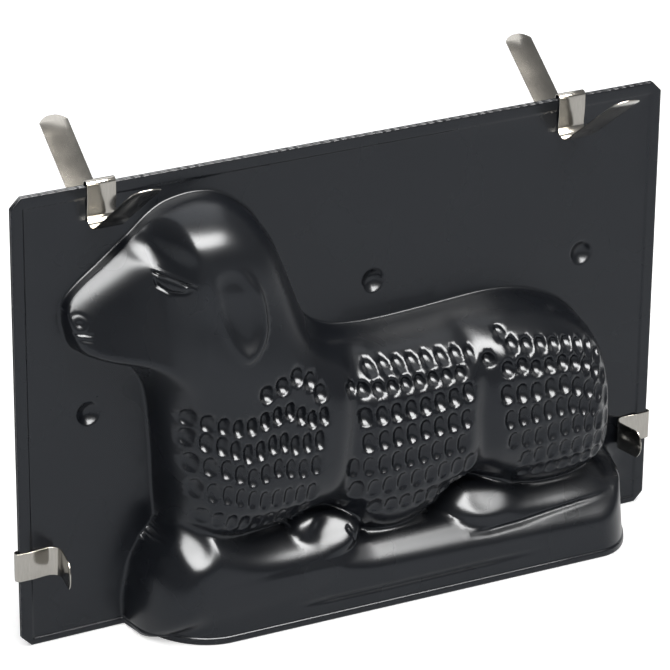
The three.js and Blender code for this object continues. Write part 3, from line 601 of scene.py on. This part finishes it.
def netPlaces():
    rim = rimOutline()
    end, high = flangeEnd, flange["height"]
    kept = rim
    for step in net["edgeSteps"][1:]:
        kept = np.concatenate([kept, places(rim, step, net["edgePitch"])[0]])
    side, top, base = end - flange["sideHem"], high - flange["sideHem"], flange["baseHem"]
    for step in net["hemSteps"]:
        x = np.linspace(-side + step, side - step, net["hemPlaces"][0])
        z = np.linspace(base + step, top - step, net["hemPlaces"][1])
        lower, upper = np.stack([x, 0 * x + z[0]], 1), np.stack([x[::3], 0 * x[::3] + z[-1]], 1)
        left, right = np.stack([0 * z + x[0], z], 1), np.stack([0 * z + x[-1], z], 1)
        kept = addClear(kept, np.concatenate([lower, left, right, upper]), 0.2)

    def within(p, spare):
        return (np.abs(p[:, 0]) < side - spare) & (p[:, 1] > base + spare) & (p[:, 1] < top - spare)

    for outline in (lambOutline, foreOutline, hindOutline):
        for step in net["wallSteps"]:
            found, inward = places(outline, step, net["wallPitch"])
            foot, wall = found - (step + 0.3) * inward, found + (3 - step) * inward
            rises = plainRelief(wall[:, 0], wall[:, 1]) - plainRelief(foot[:, 0], foot[:, 1])
            found = found[(rises > net["steepRise"]) & within(found, 0.8)]
            kept = addClear(kept, found, 0.22)
    for step in net["earSteps"]:
        kept = addClear(kept, places(earOutline, step, net["earPitch"])[0], 0.4)
    for middle in dents["places"]:
        kept = addClear(kept, roundField(middle, net["dentReach"], net["dentPitch"]), 0.4)
    for line, _, width in carving["lines"]:
        (lowX, lowZ), (highX, highZ) = np.min(line, 0) - 3, np.max(line, 0) + 3
        field = hexField(net["carvedPitch"], lowX, highX, lowZ, highZ)
        close = toLine(field[:, 0], field[:, 1], line)[0] < 2.5 * width
        kept = addClear(kept, field[close], net["carvedPitch"] * 0.6)
    for name, reach in (("eyeMiddle", 7), ("nostril", 6)):
        kept = addClear(kept, roundField(carving[name], reach, net["carvedPitch"]), net["carvedPitch"] * 0.6)
    for (middleX, middleZ), _, _, (reachX, reachZ) in carving["flats"]:
        wideX, wideZ = reachX * 1.4, reachZ * 1.4
        reach = (middleX - wideX, middleX + wideX, middleZ - wideZ, middleZ + wideZ)
        kept = addClear(kept, hexField(net["flatPitch"], *reach), net["flatPitch"] * 0.5)
    wool = hexField(net["fleecePitch"], *net["woolField"])
    kept = addClear(kept, wool[pocketShare(wool[:, 0], wool[:, 1]) > 1e-3], net["fleecePitch"] * 0.45)
    relief = hexField(net["reliefPitch"], -end, end, 3, high)
    raised = plainRelief(relief[:, 0], relief[:, 1]) > 0
    kept = addClear(kept, relief[raised & within(relief, 1)], net["reliefPitch"] * 0.5)
    field = hexField(net["flangePitch"], -end, end, 3, high)
    kept = addClear(kept, field[within(field, 1)], net["flangePitch"] * 0.45)
    return kept, len(rim)


def pressedSurfaces(points):
    # depths of the outer and the inner side of the sheet at each place of the net
    x, z = points.T
    depth = fineRelief(x, z)
    raised = depth > 0.05
    tree = KDTree(int(raised.sum()))
    for i, k in enumerate(np.nonzero(raised)[0]):
        tree.insert((x[k], z[k], 0), i)
    tree.balance()
    away = np.array([0 if r else tree.find((a, b, 0))[2] for a, b, r in zip(x, z, raised)])
    fillet = flange["footRise"] * np.clip(1 - away / flange["footRound"], 0, 1) ** 2
    footed = softMax(depth, flange["footRise"] + 0 * depth, flange["footBlend"])
    depth = np.where(raised, footed, np.maximum(depth, fillet))
    step = 0.25
    slopeX = (plainRelief(x + step, z) - plainRelief(x - step, z)) / (2 * step)
    slopeZ = (plainRelief(x, z + step) - plainRelief(x, z - step)) / (2 * step)
    stretch = np.minimum(np.hypot(1, np.hypot(slopeX, slopeZ)), flange["mostStretch"])
    sheet, halfGap = flange["sheet"], flange["gap"] / 2
    outer = halfGap + sheet + depth + sheet * stretch * hemRise(x, z)
    inner = halfGap + np.maximum(depth + sheet - sheet * stretch, 0)
    edge = np.minimum(flangeEnd - np.abs(x), np.minimum(flange["height"] - z, z))
    corner = (flangeEnd - np.abs(x)) + np.minimum(flange["height"] - z, z) - flange["cornerCut"]
    edge = np.clip(np.minimum(edge, corner * 0.7071) / flange["edgeRound"], 0, 1)
    fullness = mix(flange["edgeShare"], 1, np.sqrt(1 - (1 - edge) ** 2))
    middle, half = (outer + inner) / 2, (outer - inner) / 2
    return middle + half * fullness, middle - half * fullness


def pressedHalf(name, side, points, triangles, rimCount, outer, inner):
    # side is -1 for the front half and 1 for the back one
    dent = dentDepth(points[:, 0], points[:, 1])
    total = len(points)
    corners = np.zeros((2 * total, 3))
    corners[:, 0] = np.tile(points[:, 0], 2)
    corners[:, 2] = np.tile(points[:, 1], 2)
    corners[:total, 1] = side * outer + dent
    corners[total:, 1] = side * inner + dent
    faces = [t if side < 0 else t[::-1] for t in triangles]
    faces += [[c + total for c in t[::-1]] for t in faces]
    for i in range(rimCount):
        j = (i + 1) % rimCount
        strip = [j, i, i + total, j + total]
        faces.append(strip if side < 0 else strip[::-1])
    mesh = bpy.data.meshes.new(name)
    mesh.from_pydata((corners * mm).tolist(), [], faces)
    mesh.validate()
    mesh.shade_smooth()
    piece = bpy.data.objects.new(name, mesh)
    bpy.context.scene.collection.objects.link(piece)
    return piece


points, rimCount = netPlaces()
rimEdges = [(i, (i + 1) % rimCount) for i in range(rimCount)]
netPoints, _, netTriangles, *_ = delaunay_2d_cdt([Vector(p) for p in points], rimEdges, [], 1, 1e-5, False)
print("net of the pressed halves:", len(points), "places,", len(netTriangles), "triangles")
points = np.array([tuple(p) for p in netPoints])
netTriangles = [list(t) for t in netTriangles]
outer, inner = pressedSurfaces(points)

halves = {}
for bodyName, side in (("front_half", -1), ("back_half", 1)):
    half = pressedHalf("pressed_" + bodyName, side, points, netTriangles, rimCount, outer, inner)
    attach(half, bodyName)
    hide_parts(bodyName)
    halves[bodyName] = half
print("pressed halves made")


# Clips bent from flat spring strip

clip = {
    "strip": 0.45,
    "width": 13,
    "gap": 0.25,
    "nipReach": 12.5,
    "bendRadius": 4.5,
    "lever": {"top": 45.5, "side": 11},
    "leverTip": 3.2,
    "tipShares": (0.12, 0.25, 0.4, 0.55, 0.7, 0.82, 0.91, 0.97),
    "bend": {"top": 127.4, "side": 100},  # degrees from the leg to the lever
    "leftInset": 40,
    "rightInset": 46,
    "sideHeight": 38,
    "edgeRound": 0.13,
}


def clipLine(bend, lever):
    # half of a clip from the top of its roll to the tip of its lever: (y, z, width)
    rollRadius = flange["gap"] / 2 + 2 * flange["sheet"] + clip["gap"] + clip["strip"] / 2
    nipY = flange["gap"] / 2 + flange["sheet"] + clip["gap"] + clip["strip"] / 2
    stations = []
    for angle in np.linspace(0, math.pi / 2, 10):
        stations.append((rollRadius * math.sin(angle), rollRadius * math.cos(angle), clip["width"]))
    legTop, legEnd = flange["sideHem"] + flange["sheet"], clip["nipReach"]
    for t in np.linspace(0.2, 1, 5):
        stations.append((rollRadius, -legTop * t, clip["width"]))
    for t in np.linspace(0.2, 0.9, 6):
        stations.append((mix(rollRadius, nipY, ease(0, 1, t)), -mix(legTop, legEnd, t), clip["width"]))
    turn = math.radians(bend)
    for angle in np.linspace(0, turn, 22):
        y = nipY + clip["bendRadius"] * (1 - math.cos(angle))
        stations.append((y, -legEnd - clip["bendRadius"] * math.sin(angle), clip["width"]))
    startY, startZ, _ = stations[-1]
    tip = clip["leverTip"]
    tipRadius = clip["width"] ** 2 / (8 * tip) + tip / 2
    rounded = [lever + tip * share for share in clip["tipShares"]]
    for along in list(np.linspace(2, lever, 9)) + rounded:
        off = max(along - lever, 0) + tipRadius - tip
        width = 2 * math.sqrt(max(tipRadius**2 - off**2, 0)) if along > lever else clip["width"]
        stations.append((startY + along * math.sin(turn), startZ - along * math.cos(turn), width))
    return stations


def springClip(name, bend, lever, placed):
    half = clipLine(bend, lever)
    line = [(-y, z, w) for y, z, w in half[:0:-1]] + half
    corners, faces = [], []
    for i, (y, z, width) in enumerate(line):
        before, after = line[max(i - 1, 0)], line[min(i + 1, len(line) - 1)]
        headY, headZ = after[0] - before[0], after[1] - before[1]
        length = math.hypot(headY, headZ)
        offY, offZ = -clip["strip"] / 2 * headZ / length, clip["strip"] / 2 * headY / length
        for sideX, sideN in ((-1, -1), (1, -1), (1, 1), (-1, 1)):
            corners.append(Vector((sideX * width / 2, y + sideN * offY, z + sideN * offZ)) * mm)
    for i in range(len(line) - 1):
        for k in range(4):
            n = (k + 1) % 4
            faces.append([4 * (i + 1) + k, 4 * (i + 1) + n, 4 * i + n, 4 * i + k])
    last = 4 * (len(line) - 1)
    faces += [[0, 1, 2, 3], [last + 3, last + 2, last + 1, last]]
    mesh = bpy.data.meshes.new(name)
    mesh.from_pydata(corners, [], faces)
    mesh.transform(placed)
    mesh.validate()
    piece = bpy.data.objects.new(name, mesh)
    bpy.context.scene.collection.objects.link(piece)
    bevel = piece.modifiers.new("rounded edges", "BEVEL")
    bevel.width = clip["edgeRound"] * mm
    bevel.segments = 2
    bevel.limit_method = "ANGLE"
    bevel.angle_limit = math.radians(40)
    mesh.shade_smooth()
    return piece


def clipPlace(x, z, quarter):
    return Matrix.Translation((x * mm, 0, z * mm)) @ Matrix.Rotation(quarter * math.pi / 2, 4, "Y")


# kind, place along x, height and quarter turns of each clip
clipPlaces = {
    "top_clip_left": ("top", clip["leftInset"] - flangeEnd, flange["height"], 0),
    "top_clip_right": ("top", flangeEnd - clip["rightInset"], flange["height"], 0),
    "side_clip_left": ("side", -flangeEnd, clip["sideHeight"], -1),
    "side_clip_right": ("side", flangeEnd, clip["sideHeight"], 1),
}
clips = {}
for bodyName, (kind, x, z, quarter) in clipPlaces.items():
    placed = clipPlace(x, z, quarter)
    piece = springClip("strip_" + bodyName, clip["bend"][kind], clip["lever"][kind], placed)
    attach(piece, bodyName)
    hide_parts(bodyName)
    clips[bodyName] = piece
print("spring clips made")


# Finishes

def newMaterial(name):
    material = bpy.data.materials.new(name)
    material.use_nodes = True
    nodes = material.node_tree.nodes
    return material, nodes, material.node_tree.links, nodes["Principled BSDF"]


def newGroup(name, inputs, outputs):
    group = bpy.data.node_groups.new(name, "ShaderNodeTree")
    for label, kind, value in inputs:
        socket = group.interface.new_socket(label, in_out="INPUT", socket_type=kind)
        socket.default_value = value
    for label, kind in outputs:
        group.interface.new_socket(label, in_out="OUTPUT", socket_type=kind)
    start, end = group.nodes.new("NodeGroupInput"), group.nodes.new("NodeGroupOutput")
    return group, start, end


def surfaceUnevenness():
    # slow mottle and fine grain over a surface, as two masks
    group, start, end = newGroup(
        "surface unevenness",
        [
            ("Mottle Scale", "NodeSocketFloat", 40),
            ("Grain Scale", "NodeSocketFloat", 900),
            ("Stretch", "NodeSocketVector", (1, 1, 1)),
        ],
        [("Mottle", "NodeSocketFloat"), ("Grain", "NodeSocketFloat")],
    )
    nodes, links = group.nodes, group.links
    place = nodes.new("ShaderNodeTexCoord")
    stretch = nodes.new("ShaderNodeVectorMath")
    stretch.operation = "MULTIPLY"
    links.new(place.outputs["Object"], stretch.inputs[0])
    links.new(start.outputs["Stretch"], stretch.inputs[1])
    for label, detail in (("Mottle", 3), ("Grain", 5)):
        noise = nodes.new("ShaderNodeTexNoise")
        noise.inputs["Detail"].default_value = detail
        links.new(stretch.outputs[0] if label == "Grain" else place.outputs["Object"], noise.inputs["Vector"])
        links.new(start.outputs[label + " Scale"], noise.inputs["Scale"])
        links.new(noise.outputs["Fac"], end.inputs[label])
    return group


unevenness = surfaceUnevenness()


def ramp(nodes, links, source, low, high, fromLow=0.3, fromHigh=0.7):
    # a float, or a colour where low and high are colours, that follows a mask
    if isinstance(low, tuple):
        node = nodes.new("ShaderNodeMix")
        node.data_type = "RGBA"
        node.inputs["A"].default_value = low
        node.inputs["B"].default_value = high
        links.new(source, node.inputs["Factor"])
        return node.outputs["Result"]
    node = nodes.new("ShaderNodeMapRange")
    node.inputs["From Min"].default_value = fromLow
    node.inputs["From Max"].default_value = fromHigh
    node.inputs["To Min"].default_value = low
    node.inputs["To Max"].default_value = high
    links.new(source, node.inputs["Value"])
    return node.outputs["Result"]


coat = {
    "dark": (0.0045, 0.0056, 0.0082, 1),
    "light": (0.0085, 0.0098, 0.0128, 1),
    "specular": 0.31,
    "specularTint": (0.88, 0.93, 1, 1),
    "roughness": (0.23, 0.3),
    "mottleScale": 22,
    "grainScale": 700,
    "grainHeight": 0.00002,
    "grainStrength": 0.25,
}


def nonstickCoat():
    material, nodes, links, shader = newMaterial("nonstick_coat")
    uneven = nodes.new("ShaderNodeGroup")
    uneven.node_tree = unevenness
    uneven.inputs["Mottle Scale"].default_value = coat["mottleScale"]
    uneven.inputs["Grain Scale"].default_value = coat["grainScale"]
    color = ramp(nodes, links, uneven.outputs["Mottle"], coat["dark"], coat["light"])
    links.new(color, shader.inputs["Base Color"])
    links.new(ramp(nodes, links, uneven.outputs["Mottle"], *coat["roughness"]), shader.inputs["Roughness"])
    bump = nodes.new("ShaderNodeBump")
    bump.inputs["Strength"].default_value = coat["grainStrength"]
    bump.inputs["Distance"].default_value = coat["grainHeight"]
    links.new(uneven.outputs["Grain"], bump.inputs["Height"])
    links.new(bump.outputs["Normal"], shader.inputs["Normal"])
    shader.inputs["Specular IOR Level"].default_value = coat["specular"]
    shader.inputs["Specular Tint"].default_value = coat["specularTint"]
    return material


strip = {
    "dark": (0.26, 0.25, 0.232, 1),
    "light": (0.37, 0.358, 0.33, 1),
    "roughness": (0.14, 0.2),
    "mottleScale": 60,
    "grainScale": 300,
    "grainHeight": 0.00003,
    "grainStrength": 0.12,
}


def springSteel():
    material, nodes, links, shader = newMaterial("spring_steel")
    uneven = nodes.new("ShaderNodeGroup")
    uneven.node_tree = unevenness
    uneven.inputs["Mottle Scale"].default_value = strip["mottleScale"]
    uneven.inputs["Grain Scale"].default_value = strip["grainScale"]
    uneven.inputs["Stretch"].default_value = (8, 1, 1)  # drawn lines run along the strip
    color = ramp(nodes, links, uneven.outputs["Grain"], strip["dark"], strip["light"])
    links.new(color, shader.inputs["Base Color"])
    links.new(ramp(nodes, links, uneven.outputs["Mottle"], *strip["roughness"]), shader.inputs["Roughness"])
    bump = nodes.new("ShaderNodeBump")
    bump.inputs["Strength"].default_value = strip["grainStrength"]
    bump.inputs["Distance"].default_value = strip["grainHeight"]
    links.new(uneven.outputs["Grain"], bump.inputs["Height"])
    links.new(bump.outputs["Normal"], shader.inputs["Normal"])
    shader.inputs["Metallic"].default_value = 1
    return material


coated, sprung = nonstickCoat(), springSteel()
for half in halves.values():
    half.data.materials.append(coated)
for piece in clips.values():
    piece.data.materials.append(sprung)
print("finishes made")


# Studio: pale floor, one lamp that only matt surfaces see, two that only show in the gloss, a dim world

studio = {
    "floorSize": 12,
    "floorColor": (0.9, 0.9, 0.9, 1),
    "floorLift": 0.5,  # added where the floor is seen, so that it reads as white
    "mirroredLift": 0.33,  # added where the floor is seen in the gloss
    "world": 0.28,
}

# lamps: direction in degrees from straight in front towards +x and up, distance and size in metres
lamps = {
    "key light": ((0, 75), 1.6, (1.9, 1.9), 29, (1, 1, 1), False),
    "light in the gloss": ((-8, 57), 1.6, (1.92, 0.86), 215, (1, 0.95, 0.88), True),
    "fill in the gloss": ((178, 64), 1.8, (2.4, 1.6), 22, (1, 1, 1), True),
}


def makeFloor():
    size = studio["floorSize"] / 2
    mesh = bpy.data.meshes.new("floor")
    corners = [(-size, -size, 0), (size, -size, 0), (size, size, 0), (-size, size, 0)]
    mesh.from_pydata(corners, [], [(0, 1, 2, 3)])
    floor = bpy.data.objects.new("floor", mesh)
    bpy.context.scene.collection.objects.link(floor)
    floor.location.z = -0.0002
    material, nodes, links, shader = newMaterial("pale floor")
    shader.inputs["Base Color"].default_value = studio["floorColor"]
    shader.inputs["Roughness"].default_value = 0.9
    shader.inputs["Specular IOR Level"].default_value = 0
    path = nodes.new("ShaderNodeLightPath")
    lift = 0
    lifts = (("Camera", "floorLift"), ("Glossy", "mirroredLift"), ("Transmission", "mirroredLift"))
    for ray, amount in lifts:
        part = nodes.new("ShaderNodeMath")
        part.operation = "MULTIPLY_ADD"
        links.new(path.outputs["Is " + ray + " Ray"], part.inputs[0])
        part.inputs[1].default_value = studio[amount]
        part.inputs[2].default_value = 0
        if lift:
            links.new(lift, part.inputs[2])
        lift = part.outputs[0]
    shader.inputs["Emission Color"].default_value = (1, 1, 1, 1)
    links.new(lift, shader.inputs["Emission Strength"])
    mesh.materials.append(material)


def softbox(name, aim, distance, size, power, color, forGloss):
    data = bpy.data.lights.new(name, "AREA")
    data.shape = "RECTANGLE"
    data.size, data.size_y = size
    data.energy = power
    data.color = color
    lamp = bpy.data.objects.new(name, data)
    bpy.context.scene.collection.objects.link(lamp)
    turn, rise = math.radians(aim[0]), math.radians(aim[1])
    away = Vector((math.sin(turn) * math.cos(rise), -math.cos(turn) * math.cos(rise), math.sin(rise)))
    lamp.location = Vector((0, 0, 0.09)) + away * distance
    lamp.rotation_euler = (-away).to_track_quat("-Z", "Y").to_euler()
    lamp.visible_glossy = forGloss
    lamp.visible_diffuse = not forGloss


makeFloor()
for lampName, settings in lamps.items():
    softbox(lampName, *settings)

world = bpy.data.worlds.new("dim room")
bpy.context.scene.world = world
world.use_nodes = True
world.node_tree.nodes["Background"].inputs["Color"].default_value = (1, 1, 1, 1)
world.node_tree.nodes["Background"].inputs["Strength"].default_value = studio["world"]

# Camera: a long lens from the front left and above

view = {
    "azimuth": 28.4822,
    "elevation": 23.9199,
    "roll": 0.6092,
    "target": (-5.3676, 0, 114.1289),
    "distance": 1650.979,
    "focal": 3853.955 / 670,  # as a share of the picture's width
    "sensor": 36,
}


def makeCamera():
    azimuth, elevation, roll = (math.radians(view[k]) for k in ("azimuth", "elevation", "roll"))
    flat = math.cos(elevation)
    ahead = Vector((math.sin(azimuth) * flat, math.cos(azimuth) * flat, -math.sin(elevation)))
    level = Vector((math.cos(azimuth), -math.sin(azimuth), 0))
    above = level.cross(ahead)
    right = level * math.cos(roll) + above * math.sin(roll)
    up = above * math.cos(roll) - level * math.sin(roll)
    data = bpy.data.cameras.new("camera")
    data.sensor_width = view["sensor"]
    data.lens = view["focal"] * view["sensor"]
    data.clip_end = 50
    camera = bpy.data.objects.new("camera", data)
    bpy.context.scene.collection.objects.link(camera)
    turned = Matrix((right, up, -ahead)).transposed().to_4x4()
    place = (Vector(view["target"]) - ahead * view["distance"]) * mm
    camera.matrix_world = Matrix.Translation(place) @ turned
    bpy.context.scene.camera = camera


makeCamera()
bpy.context.scene.view_settings.view_transform = "Standard"
print("studio and camera made")
